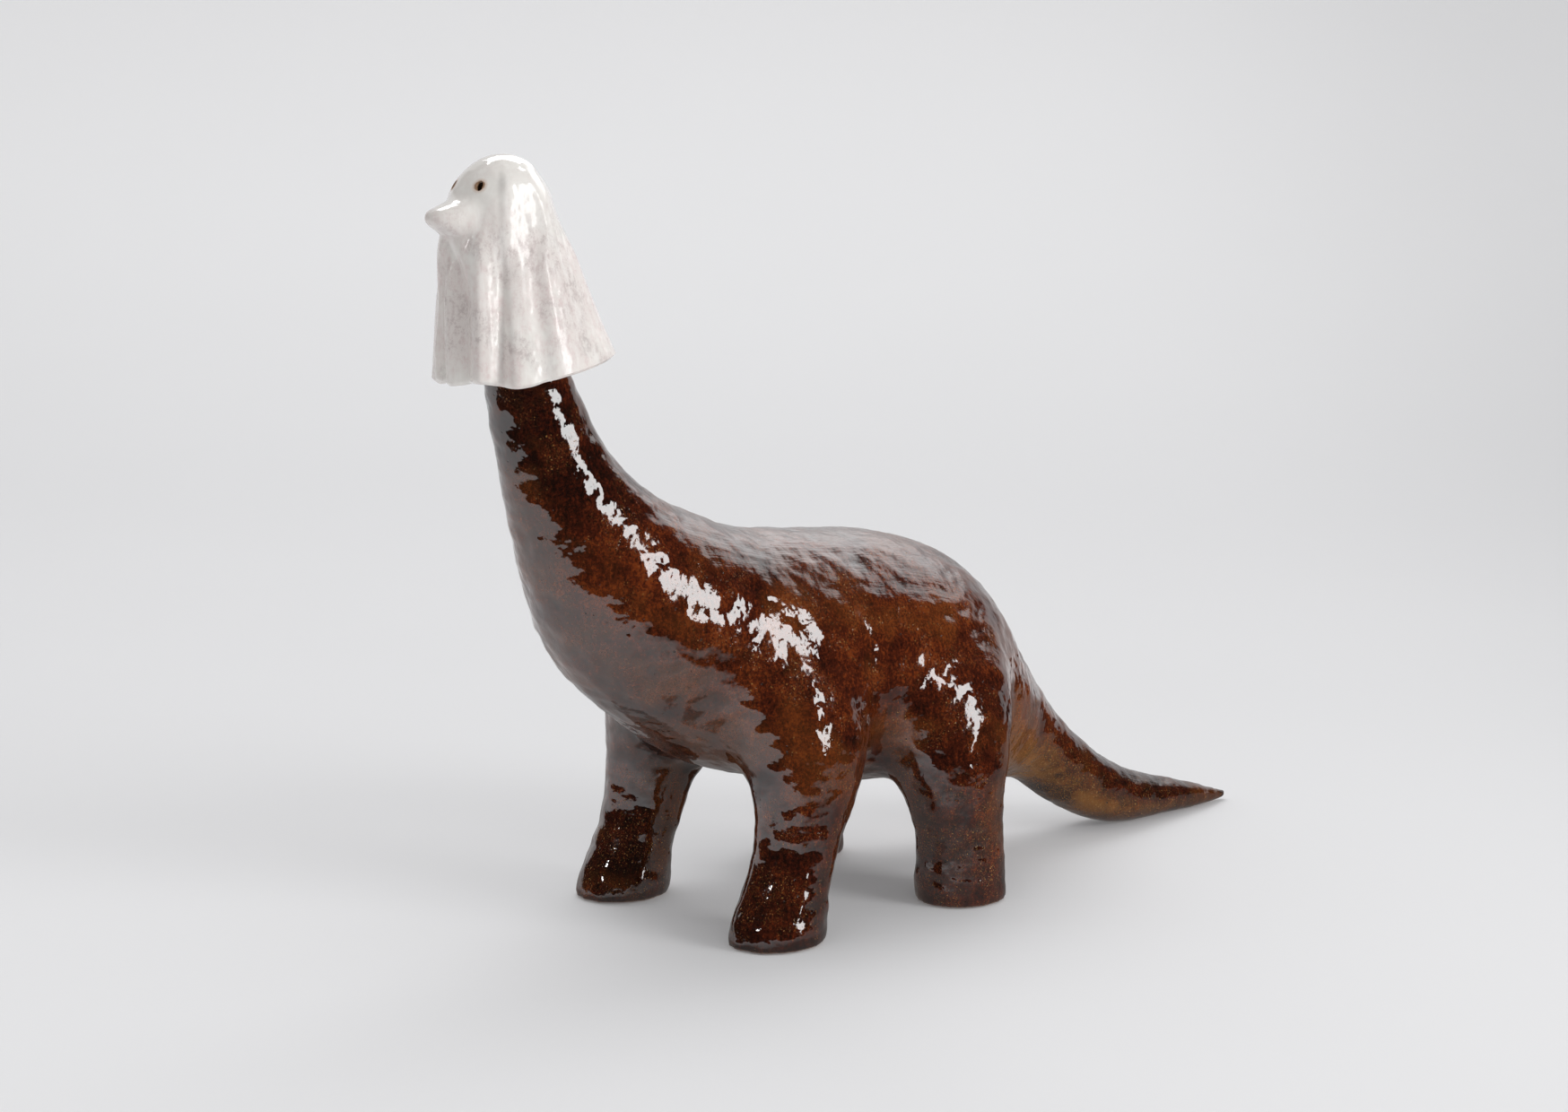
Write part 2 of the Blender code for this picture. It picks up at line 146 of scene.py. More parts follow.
# The hood. A drop is measured down from its crown.
HOOD_SIDES = 300
HOOD_ROWS = 190
HOOD_GAP = 0.00004
HOOD_SHARP = 50
WALL = 0.0045
FLARE = 0.22
LEAN = 0.24
LEAN_BEGINS = 0.052
LEAN_EASE = 0.015
HEM_DROP = 0.1305
HEM_REAR_LIFT = 0.0125
HEM_LIFT_FROM, HEM_LIFT_TO = 72, 138
HEM_RIPPLE = 0.0012
HEM_WAVES = 6
HEM_DIP, HEM_DIP_ANGLE, HEM_DIP_WIDTH = 0.0025, -45.0, 22.0
DOME_RADIUS = 0.026
DOME_DEPTH = 0.0269
SNOUT_DROP = 0.0345
SNOUT_REACH = 0.0182
SNOUT_ABOVE = 0.0070
SNOUT_BELOW = 0.0100
SNOUT_ANGLE = 20.0
SNOUT_BLUNT = 2.5  # the power that it falls off with: 2 is a plain bell, and more is blunter
SNOUT_HOLLOW = 0.62
CHIN_REACH = 0.0042
CHIN_EASE = 0.01
CHIN_FADES = (0.042, 0.078)
# The hood's flat side: the angle at its middle, half its angular width, the way it faces, its distance
# from the axis level with the foot of the dome, and how that grows with the drop. Lower down its middle
# slides forward and it narrows.
FACET_MIDDLE, FACET_WIDTH, FACET_FACES = 76.0, 22.0, 84.0
FACET_OFFSET, FACET_FLARE = 0.0299, 0.16
FACET_FROM, FACET_FULL = 0.007, 0.018
FACET_SLIDE, FACET_NARROWS, FACET_SLIDES = 4.5, 6.0, (0.036, 0.066)
FACET_SQUARE = 6.0  # the power that it ends with: more gives it a sharper edge
FACET_TURNS_AWAY = 0.3  # past this cosine from the way it faces, the flat side is held to a plain curve
EYE_ANGLE = 26.0
EYE_DROP = 0.0176
EYE_TILT = 28.0
EYE_WIDTH = 0.0032
EYE_HEIGHT = 0.0058
EYE_RIM = 0.0011
EYE_RIM_TURNS = (78, 66, 52, 38, 24, 10)
EYE_SIDES = 40
EYE_CUT = 2.4 * WALL
# The hood's grid goes down the outer face, turns at the hem between these shares of its length and comes
# back up the inner face. Its rows crowd towards the crown. The hem is sunk and rounded by shares of the wall.
HEM_TURN = (0.47, 0.53)
ROW_CROWDING = 1.35
HEM_SUNK, HEM_ROUND = 0.45, 0.9

# Folds: the angle round from the snout, how far each stands out or in, half its angular width, and the
# drops at which it begins and is full.
FOLDS = (
    (-2, 0.0020, 8, 0.052, 0.085),
    (17, -0.0038, 8, 0.038, 0.060),
    (33, 0.0036, 9, 0.036, 0.056),
    (53, -0.0057, 10, 0.046, 0.070),
    (112, -0.0012, 14, 0.060, 0.100),
    (138, -0.0036, 26, 0.004, 0.014),
    (142, 0.0064, 26, 0.028, 0.062),
    (141, 0.0020, 16, 0.095, 0.130),
    (160, -0.0030, 10, 0.055, 0.100),
    (178, 0.0030, 10, 0.050, 0.100),
    (198, -0.0035, 10, 0.050, 0.100),
    (218, 0.0030, 9, 0.050, 0.090),
    (238, -0.0030, 10, 0.050, 0.090),
    (256, 0.0030, 9, 0.055, 0.090),
    (273, -0.0028, 7, 0.055, 0.090),
    (290, 0.0038, 10, 0.050, 0.085),
    (318, -0.0058, 12, 0.045, 0.085),
    (336, 0.0020, 9, 0.085, 0.115),
    (348, -0.0030, 7, 0.042, 0.060),
)
SNOUT_FOLDS = 30
FAN_LENGTH = 0.055
INNER_FOLDS = 0.8
# The hood's dents and ripples: how large they are, and the drops at which they begin and are full. Their
# pattern is read on a tube of this radius, and the ripples run down it.
PATTERN_RADIUS = 0.04
DIMPLE_SIZE, DIMPLE_DROPS = 0.013, (0.006, 0.03)
RIPPLE_SIZE, RIPPLE_SQUEEZE, RIPPLE_DROPS = 0.0085, (1, 1, 0.13), (0.012, 0.05)

# The brown glaze, from pools to where it lies thin, and what shows on it.
BROWN_STOPS = (
    (0.46, (0.009, 0.0022, 0.0011, 1)),
    (0.58, (0.031, 0.0052, 0.0020, 1)),
    (0.70, (0.070, 0.0118, 0.0034, 1)),
    (0.84, (0.155, 0.031, 0.0062, 1)),
)
AMBER = (0.17, 0.050, 0.009, 1)
OLIVE = (0.26, 0.104, 0.015, 1)
GOLD_DUST = (0.27, 0.132, 0.034, 1)
GOLD_SPECK = (0.48, 0.27, 0.08, 1)
PINHOLE = (0.004, 0.002, 0.001, 1)
BARE_CLAY = (0.20, 0.115, 0.08, 1)
BROWN_IOR = 1.85
# How large its patterns are. Streaks are drawn out downwards, and the brushing on the back runs lengthwise.
CLOUD_SIZE, PATCH_SIZE, MOTTLE_SIZE, AMBER_SIZE, DUST_SIZE = 0.075, 0.022, 0.0019, 0.05, 0.0010
STREAK_SIZE, STREAK_SQUEEZE = 0.0024, (1, 1, 0.30)
BRUSH_SIZE, BRUSH_SQUEEZE = 0.0021, (1, 0.07, 0.07)
SPECK_JOSTLE_SIZE, SPECK_JOSTLE = 0.0015, 0.0016
SPECKS_PER_METRE, PINHOLES_PER_METRE = 700.0, 260.0
ORANGE_PEEL_SIZE, GRAIN_SIZE = 0.0055, 0.0016
BROWN_BUMP = 0.0009
# Where it changes: heights at the feet and the neck, places along the animal, and how far up the clay faces.
FEET_Z, NECK_Z = (0.105, 0.03), (0.21, 0.30)
CHEST_Y, REAR_Y = (-0.02, -0.12), (0.02, 0.16)
CHEST_UP, BELOW_UP, BACK_UP = (0.15, -0.40), (0.15, -0.55), (0.30, 0.80)
OFF_FLOOR_Z = (-0.005, 0.03)
# Below this height the soles are wiped bare, with a ragged edge.
SOLE_RIM, SOLE_RAGGED = 0.0016, 0.0016

# The white glaze, the iron stain round the eyes, and painted shade inside them.
WARM_WHITE, CREAM = (0.815, 0.79, 0.75, 1), (0.765, 0.74, 0.705, 1)
PINK, GREY = (0.70, 0.595, 0.575, 1), (0.50, 0.45, 0.435, 1)
WHITE_RUN = (0.88, 0.86, 0.83, 1)
EYE_HALO, EYE_STAIN, EYE_PAINTED_SHADE = (0.52, 0.33, 0.22, 1), (0.20, 0.095, 0.03, 1), (0.05, 0.025, 0.012, 1)
EYE_HALO_GAP, EYE_STAIN_GAP, EYE_PAINTED_SHADE_GAP = (0.0056, 0.0034), (0.0038, 0.0027), (0.0068, 0.0060)
EYE_PAINTED_SHADE_DEPTH = 0.0075
EYE_RAGGED = 0.0012
WHITE_IOR = 1.46
PINK_SIZE, GREY_SIZE, FINE_SIZE = 0.024, 0.026, 0.0013
HANGING_SIZE, HANGING_SQUEEZE = 0.0042, (1, 1, 0.7)
RUN_SIZE, RUN_SQUEEZE = 0.0045, (1, 1, 0.10)
WHITE_PEEL_SIZE = 0.006
WHITE_BUMP = 0.0007
LOW_Z = (0.466, 0.425)


class Wire:
    """A socket of a node tree, on which plain arithmetic adds Math nodes."""

    def __init__(self, board, node, socket):
        self.board, self.node, self.socket = board, node, socket

    def other(self, name):
        """Another output of the same node."""
        return Wire(self.board, self.node, self.node.outputs[name])

    def __add__(self, value):
        return self.board.maths("ADD", self, value)

    def __radd__(self, value):
        return self.board.maths("ADD", value, self)

    def __sub__(self, value):
        return self.board.maths("SUBTRACT", self, value)

    def __rsub__(self, value):
        return self.board.maths("SUBTRACT", value, self)

    def __mul__(self, value):
        return self.board.maths("MULTIPLY", self, value)

    def __rmul__(self, value):
        return self.board.maths("MULTIPLY", value, self)

    def __truediv__(self, value):
        return self.board.maths("DIVIDE", self, value)

    def __rtruediv__(self, value):
        return self.board.maths("DIVIDE", value, self)

    def __pow__(self, value):
        return self.board.maths("POWER", self, value)

    def __neg__(self):
        return self.board.maths("MULTIPLY", self, -1.0)


class Board:
    """A node tree that is being wired up."""

    def __init__(self, tree):
        self.tree = tree

    def add(self, kind, settings=None, sockets=None, output=0):
        """A new node: its settings, then the values or wires of its sockets."""
        node = self.tree.nodes.new(kind)
        for name, value in (settings or {}).items():
            if name == "stops":
                ramp = node.color_ramp
                while len(ramp.elements) < len(value):
                    ramp.elements.new(1.0)
                for element, (place, colour) in zip(ramp.elements, value):
                    element.position, element.color = place, colour
            else:
                setattr(node, name, value)
        for name, value in (sockets or {}).items():
            if isinstance(value, Wire):
                self.tree.links.new(value.socket, node.inputs[name])
            else:
                node.inputs[name].default_value = value
        return Wire(self, node, node.outputs[output] if len(node.outputs) else None)

    def maths(self, operation, *values):
        return self.add("ShaderNodeMath", {"operation": operation}, dict(enumerate(values)))

    def exp(self, value):
        return self.maths("EXPONENT", value)

    def bell(self, value):
        """1 at 0, and falling off smoothly on both sides."""
        return self.exp(-(value * value))

    def absolute(self, value):
        return self.maths("ABSOLUTE", value)

    def root(self, value):
        """The square root, or 0 below 0."""
        return self.maths("SQRT", self.most(value, 0.0))

    def over(self, value, limit):
        """1 where value is over limit, else 0."""
        return self.maths("GREATER_THAN", value, limit)

    def sine(self, degrees):
        return self.maths("SINE", degrees * (math.pi / 180))

    def cosine(self, degrees):
        return self.maths("COSINE", degrees * (math.pi / 180))

    def least(self, a, b):
        return self.maths("MINIMUM", a, b)

    def most(self, a, b):
        return self.maths("MAXIMUM", a, b)

    def step(self, low, high, value):
        """0 at low and 1 at high, with a smooth step between. Low may be the larger."""
        return self.add(
            "ShaderNodeMapRange",
            {"interpolation_type": "SMOOTHSTEP"},
            {"Value": value, "From Min": low, "From Max": high},
        )

    def stretched(self, point, by):
        return self.add("ShaderNodeVectorMath", {"operation": "MULTIPLY"}, {0: point, 1: by})

    def moved(self, point, by):
        return self.add("ShaderNodeVectorMath", {"operation": "ADD"}, {0: point, 1: by})

    def scaled(self, vector, by):
        return self.add("ShaderNodeVectorMath", {"operation": "SCALE"}, {0: vector, "Scale": by})

    def joined(self, x, y, z):
        return self.add("ShaderNodeCombineXYZ", {}, {0: x, 1: y, 2: z})

    def parts(self, vector):
        x = self.add("ShaderNodeSeparateXYZ", {}, {0: vector}, "X")
        return x, x.other("Y"), x.other("Z")

    def gap(self, point, place):
        """How far point is from place."""
        return self.add("ShaderNodeVectorMath", {"operation": "DISTANCE"}, {0: point, 1: place}, "Value")

    def noise(self, point, size, detail, rough=0.5, output=0):
        """Noise with features about size metres across, from 0 to 1."""
        sockets = {"Vector": point, "Scale": 1 / size, "Detail": detail, "Roughness": rough}
        return self.add("ShaderNodeTexNoise", {"noise_dimensions": "3D"}, sockets, output)

    def cells(self, point, per_metre):
        """The distance to the nearest of many scattered points. Its other output is a colour for each."""
        return self.add("ShaderNodeTexVoronoi", {}, {"Vector": point, "Scale": per_metre}, "Distance")

    def colour(self, share, a, b):
        """Colour a, going to b as share goes to 1."""
        return self.add("ShaderNodeMix", {"data_type": "RGBA"}, {0: share, 6: a, 7: b}, 2)


def geometry_board(name, inputs):
    """A geometry tree with named inputs. Returns its board and the wire of its geometry input."""
    tree = bpy.data.node_groups.new(name, "GeometryNodeTree")
    tree.interface.new_socket("Geometry", in_out="INPUT", socket_type="NodeSocketGeometry")
    for label, value in inputs.items():
        kind = "NodeSocketMaterial" if isinstance(value, bpy.types.Material) else "NodeSocketFloat"
        tree.interface.new_socket(label, in_out="INPUT", socket_type=kind)
    tree.interface.new_socket("Geometry", in_out="OUTPUT", socket_type="NodeSocketGeometry")
    board = Board(tree)
    return board, board.add("NodeGroupInput")


def end_tree(board, geometry, material):
    """Closes a tree with smooth faces, no instances and one material."""
    smooth = board.add("GeometryNodeSetShadeSmooth", {}, {"Geometry": geometry})
    real = board.add("GeometryNodeRealizeInstances", {}, {"Geometry": smooth})
    worn = board.add("GeometryNodeSetMaterial", {}, {"Geometry": real, "Material": material})
    board.add("NodeGroupOutput", {}, {"Geometry": worn})


def grow(obj, board, inputs):
    """Puts the tree on obj with these inputs."""
    modifier = obj.modifiers.new(board.tree.name, "NODES")
    modifier.node_group = board.tree
    for item in board.tree.interface.items_tree:
        if item.in_out == "INPUT" and item.name in inputs:
            modifier[item.identifier] = inputs[item.name]


def placed(name, data):
    """An object for this mesh or light, in the scene."""
    obj = bpy.data.objects.new(name, data)
    bpy.context.scene.collection.objects.link(obj)
    return obj


def finished(obj, name):
    """A plain object with obj's evaluated mesh. obj and its modifiers are removed."""
    graph = bpy.context.evaluated_depsgraph_get()
    mesh = bpy.data.meshes.new_from_object(obj.evaluated_get(graph))
    mesh.name = name
    bpy.data.objects.remove(obj)
    return placed(name, mesh)


def mesh_from(bm, name, material):
    """A mesh of this name and material from bm, which is freed."""
    mesh = bpy.data.meshes.new(name)
    bm.to_mesh(mesh)
    bm.free()
    mesh.materials.append(material)
    return mesh


def keep_inside(obj):
    """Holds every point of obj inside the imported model's box and on or above the floor."""
    mesh = obj.data
    points = np.empty(len(mesh.vertices) * 3)
    mesh.vertices.foreach_get("co", points)
    points = points.reshape(-1, 3)
    np.clip(points, np.array(cad_low), np.array(cad_high), out=points)
    mesh.vertices.foreach_set("co", points.ravel())
    mesh.update()


def merged_copy(node):
    """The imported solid's mesh with its loose triangles joined."""
    bm = bmesh.new()
    bm.from_mesh(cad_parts[node].data)
    bmesh.ops.remove_doubles(bm, verts=bm.verts, dist=LOOSE_GAP)
    mesh = bpy.data.meshes.new(node + "_merged")
    bm.to_mesh(mesh)
    bm.free()
    return placed(node + "_merged", mesh)


def crease(board, source, point):
    """How deep the crease behind each shoulder is."""
    x, y, z = board.parts(point)
    beside = (y - (CREASE_Y + CREASE_SLOPE * (z - CREASE_Z))) / CREASE_WIDTH
    deep = board.bell(beside) * board.step(*CREASE_FOOT, z) * board.step(*CREASE_HEAD, z)
    return deep * source.other("Crease Depth") * board.step(*CREASE_ASIDE, board.absolute(x))


def hand_marks(material):
    """A tree that presses finger dents and long gouges into the clay, and notes how deep they go."""
    inputs = {
        "Lump Height": 0.0019,
        "Dent Width": 0.012,
        "Dent Depth": 0.0010,
        "Gouge Depth": 0.0009,
        "Stroke Depth": 0.0009,
        "Crease Depth": 0.0008,
        "Glaze": material,
    }
    board, source = geometry_board("hand_marks", inputs)
    point = board.add("GeometryNodeInputPosition")
    normal = board.add("GeometryNodeInputNormal")
    _, rearward, up = board.parts(normal)
    wander = board.scaled(board.noise(point, WANDER_SIZE, 2, output="Color"), WANDER)
    warped = board.moved(point, wander)
    large, small = LUMP_SIZES
    lumps = (board.noise(point, large, 1) + board.noise(point, small, 1) - 1) * source.other("Lump Height")
    cells = {"Vector": board.stretched(warped, DENT_SQUEEZE), "Scale": 1 / source.other("Dent Width")}
    cells["Smoothness"] = DENT_SOFTNESS
    dent = board.add("ShaderNodeTexVoronoi", {"feature": "SMOOTH_F1"}, cells)
    dents = (board.least(dent, 1.0) - 0.5) * source.other("Dent Depth")
    # Gouges run along the back and the rump, and strokes go round the sides.
    lengthwise = board.stretched(board.moved(point, board.scaled(wander, GOUGE_WANDER)), GOUGE_SQUEEZE)
    facing = up + GOUGE_REARWARD * board.most(rearward, 0.0)
    gouges = (board.noise(lengthwise, GOUGE_SIZE, 2) - 0.5) * source.other("Gouge Depth")
    gouges = gouges * board.step(*GOUGE_FACING, facing)
    round_girth = board.stretched(warped, STROKE_SQUEEZE)
    strokes = (board.noise(round_girth, STROKE_SIZE, 1.5) - 0.5) * source.other("Stroke Depth")
    strokes = strokes * board.step(*STROKE_FACING, up)
    ragged = (board.noise(warped, RAGGED_SIZE, 1, 0.45) - 0.5) * RAGGED_DEPTH
    relief = lumps + dents + gouges + strokes + ragged - crease(board, source, point)
    fade = SOLE_MARKS + (1 - SOLE_MARKS) * board.step(0.0, SOLE_FADE, board.parts(point)[2])
    offset = board.scaled(normal, relief * fade - MARKS_SUNK)
    shaped = board.add("GeometryNodeSetPosition", {}, {"Geometry": source, "Offset": offset})
    # The glaze reads the relief in millimetres.
    noted = board.add(
        "GeometryNodeStoreNamedAttribute",
        {"data_type": "FLOAT", "domain": "POINT"},
        {"Geometry": shaped, "Name": "relief", "Value": (dents + ragged + gouges) * 1000},
    )
    end_tree(board, noted, source.other("Glaze"))
    return board, inputs


def make_body(material):
    rough = merged_copy("dinosaur_body")
    remesh = rough.modifiers.new("clay", "REMESH")
    remesh.mode, remesh.voxel_size = "VOXEL", CLAY_GRAIN
    smooth = rough.modifiers.new("wet sponge", "SMOOTH")
    smooth.factor, smooth.iterations = CLAY_SOFTENING, CLAY_SMOOTHING
    board, inputs = hand_marks(material)
    grow(rough, board, inputs)
    body = finished(rough, "glazed_body")
    keep_inside(body)
    return body


def hem_drop(board, source, angle):
    """How far down the hem hangs: lifted at the back, rippled all round, and dipped beside the snout."""
    lift = HEM_REAR_LIFT * board.step(HEM_LIFT_FROM, HEM_LIFT_TO, board.absolute(angle))
    hem = source.other("Hem Drop") - lift + HEM_RIPPLE * board.cosine(angle * HEM_WAVES)
    return hem + HEM_DIP * board.bell((angle - HEM_DIP_ANGLE) / HEM_DIP_WIDTH)


def plain_drape(board, source, angle, drop, inset):
    """The plain drape's radius: a dome that runs out into a leaning cone."""
    depth = board.least((drop - inset) / DOME_DEPTH, 1.0)
    open_share = 1 - (1 - depth) * (1 - depth)
    plain = (DOME_RADIUS + source.other("Flare") * drop - inset) * board.root(open_share)
    past = board.most(drop - LEAN_BEGINS, 0.0)
    lean = source.other("Lean") * past * past / (past + LEAN_EASE)
    across = lean * board.sine(angle)
    return board.root(plain * plain - across * across) - lean * board.cosine(angle)


def pressed_flat(board, source, angle, drop, inset, radius):
    """The radius with the hood's flat side, where the sheet was pressed in."""
    level = source.other("Facet Offset") + FACET_FLARE * (drop - DOME_DEPTH)
    flat = level / board.most(board.cosine(angle - FACET_FACES), FACET_TURNS_AWAY) - inset
    slid = board.step(*FACET_SLIDES, drop)
    aside = (angle - FACET_MIDDLE + FACET_SLIDE * slid) / (FACET_WIDTH - FACET_NARROWS * slid)
    share = board.exp(-(aside**FACET_SQUARE)) * board.step(FACET_FROM, FACET_FULL, drop - inset)
    return radius + share * (flat - radius)


def snout(board, source, angle, drop, inner):
    """How far the snout and the chin under it stand out. The snout is narrower on the inner face."""
    spread = 1 - (1 - SNOUT_HOLLOW) * inner
    tall = (SNOUT_ABOVE + (SNOUT_BELOW - SNOUT_ABOVE) * board.over(drop, SNOUT_DROP)) * spread
    rise = board.absolute((drop - SNOUT_DROP) / tall)
    bump = source.other("Snout Reach") * board.exp(-(rise**SNOUT_BLUNT))
    chin = CHIN_REACH * board.step(SNOUT_DROP, SNOUT_DROP + CHIN_EASE, drop)
    chin = chin * (1 - board.step(*CHIN_FADES, drop))
    aside = board.absolute(angle / (SNOUT_ANGLE * spread))
    return board.most(bump, chin) * board.exp(-(aside**SNOUT_BLUNT))


def folds(board, angle, drop, inner):
    """How far the folds stand out or in. Those under the snout fan out from it."""
    fan = board.step(SNOUT_DROP, SNOUT_DROP + FAN_LENGTH, drop)
    out = 0.0
    for at, height, width, begins, full in FOLDS:
        centre = (at + 180) % 360 - 180
        if abs(centre) < SNOUT_FOLDS:
            centre = centre * fan
        away = board.maths("WRAP", angle - centre, 180.0, -180.0) / width
        out = out + height * board.bell(away) * board.step(begins, full, drop)
    return out * (1 - (1 - INNER_FOLDS) * inner)


def hood_field(board, source):
    """The hood's shape as fields over a flat grid. Its x goes round the hood, and its y down and back up."""
    wall = source.other("Wall")
    grid_x, grid_y, _ = board.parts(board.add("GeometryNodeInputPosition"))
    angle, along = grid_x * 360, grid_y + 0.5
    turned = board.step(*HEM_TURN, along)
    inner = board.step(0.0, 1.0, turned)
    inset = wall * turned
    share = board.least(board.least(along / HEM_TURN[0], (1 - along) / HEM_TURN[0]), 1.0)
    share = board.most(share, 0.0) ** ROW_CROWDING
    edge = board.least(turned, 1 - turned) * wall * HEM_ROUND
    drop = inset + (hem_drop(board, source, angle) - wall * HEM_SUNK - inset) * share + edge
    radius = plain_drape(board, source, angle, drop, inset)
    radius = pressed_flat(board, source, angle, drop, inset, radius)
    radius = radius + snout(board, source, angle, drop, inner)
    radius = radius + folds(board, angle, drop, inner)
    # Shallow dents and long ripples, the same on both faces.
    plan = board.joined(board.sine(angle) * PATTERN_RADIUS, board.cosine(angle) * PATTERN_RADIUS, drop)
    dents = (board.noise(plan, DIMPLE_SIZE, 2) - 0.5) * source.other("Dent Depth")
    radius = radius + dents * board.step(*DIMPLE_DROPS, drop - inset)
    hanging = board.stretched(plan, RIPPLE_SQUEEZE)
    ripples = (board.noise(hanging, RIPPLE_SIZE, 1, 0.4) - 0.5) * source.other("Ripple Depth")
    radius = radius + ripples * board.step(*RIPPLE_DROPS, drop - inset)
    return board.joined(radius * board.sine(angle), -(radius * board.cosine(angle)), -drop)


def hood_tree(material):
    inputs = {
        "Wall": WALL,
        "Flare": FLARE,
        "Lean": LEAN,
        "Hem Drop": HEM_DROP,
        "Snout Reach": SNOUT_REACH,
        "Facet Offset": FACET_OFFSET,
        "Dent Depth": 0.0006,
        "Ripple Depth": 0.0013,
        "Glaze": material,
    }
    board, source = geometry_board("draped_sheet", inputs)
    size = {"Size X": 1.0, "Size Y": 1.0, "Vertices X": HOOD_SIDES + 1, "Vertices Y": HOOD_ROWS}
    grid = board.add("GeometryNodeMeshGrid", {}, size)
    place = hood_field(board, source)
    draped = board.add("GeometryNodeSetPosition", {}, {"Geometry": grid, "Position": place})
    closed = board.add("GeometryNodeMergeByDistance", {}, {"Geometry": draped, "Distance": HOOD_GAP})
    end_tree(board, closed, source.other("Glaze"))
    return board, inputs


def eye_place(side, crown):
    """The middle of an eye on the hood's outer face, and the way it looks."""
    turn = math.radians(side * EYE_ANGLE)
    open_share = 1 - (1 - EYE_DROP / DOME_DEPTH) ** 2
    radius = (DOME_RADIUS + FLARE * EYE_DROP) * math.sqrt(open_share)
    place = crown + Vector((radius * math.sin(turn), -radius * math.cos(turn), -EYE_DROP))
    return place, towards(side * EYE_ANGLE, EYE_TILT)


def eye_punch(side, crown, material):
    """A rod of oval section that goes in through one eye and widens where it meets the outer face."""
    rings = [(2 * WALL, 2 * WALL - EYE_RIM), (EYE_RIM, EYE_RIM)]
    for turn in map(math.radians, EYE_RIM_TURNS):
        rings.append((EYE_RIM * (math.sin(turn) - 1), EYE_RIM * (1 - math.cos(turn))))
    rings.append((-EYE_CUT, 0))
    turns = [math.tau * k / EYE_SIDES for k in range(EYE_SIDES)]
    bm = bmesh.new()
    loops = []
    for out, wider in rings:
        across, tall = EYE_WIDTH / 2 + wider, EYE_HEIGHT / 2 + wider
        loops.append([bm.verts.new((across * math.cos(t), tall * math.sin(t), out)) for t in turns])
    for upper, lower in zip(loops, loops[1:]):
        for k in range(EYE_SIDES):
            bm.faces.new((upper[k - 1], upper[k], lower[k], lower[k - 1]))
    bm.faces.new(loops[0])
    bm.faces.new(loops[-1])
    bmesh.ops.recalc_face_normals(bm, faces=bm.faces)
    punch = placed("eye_punch", mesh_from(bm, "eye_punch", material))
    punch.location, outward = eye_place(side, crown)
    punch.rotation_euler = outward.to_track_quat("Z", "Y").to_euler()
    return punch


def make_hood():
    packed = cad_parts["draped_hood"].data
    crown = max((vert.co for vert in packed.vertices), key=lambda co: co.z).copy()
    material = white_glaze([eye_place(side, crown) for side in (1, -1)])
    board, inputs = hood_tree(material)
    seed = placed("hood_seed", bpy.data.meshes.new("hood_seed"))
    grow(seed, board, inputs)
    hood = finished(seed, "whole_hood")
    hood.data.transform(Matrix.Translation(crown))
    bm = bmesh.new()
    bm.from_mesh(hood.data)
    bmesh.ops.recalc_face_normals(bm, faces=bm.faces)
    bm.to_mesh(hood.data)
    bm.free()
    punches = [eye_punch(side, crown, material) for side in (1, -1)]
    for punch in punches:
        cut = hood.modifiers.new("eye", "BOOLEAN")
        cut.operation, cut.object, cut.solver = "DIFFERENCE", punch, "EXACT"
    hood = finished(hood, "glazed_hood")
    hood.data.set_sharp_from_angle(angle=math.radians(HOOD_SHARP))
    for punch in punches:
        bpy.data.objects.remove(punch)
    keep_inside(hood)
    return hood


def new_material(name):
    """A new Principled material. Returns it, its board, its shader and the object's coordinates."""
    material = bpy.data.materials.new(name)
    material.use_nodes = True
    board = Board(material.node_tree)
    shader = material.node_tree.nodes["Principled BSDF"]
    place = board.add("ShaderNodeTexCoord", output="Object")
    return material, board, shader, place


def plug(board, shader, **links):
    """Joins wires to the shader's sockets, whose names have spaces where these have underscores."""
    for name, wire in links.items():
        board.tree.links.new(wire.socket, shader.inputs[name.replace("_", " ")])


def bumped(board, height, distance, strength):
    sockets = {"Height": height, "Distance": distance, "Strength": strength}
    return board.add("ShaderNodeBump", {}, sockets)


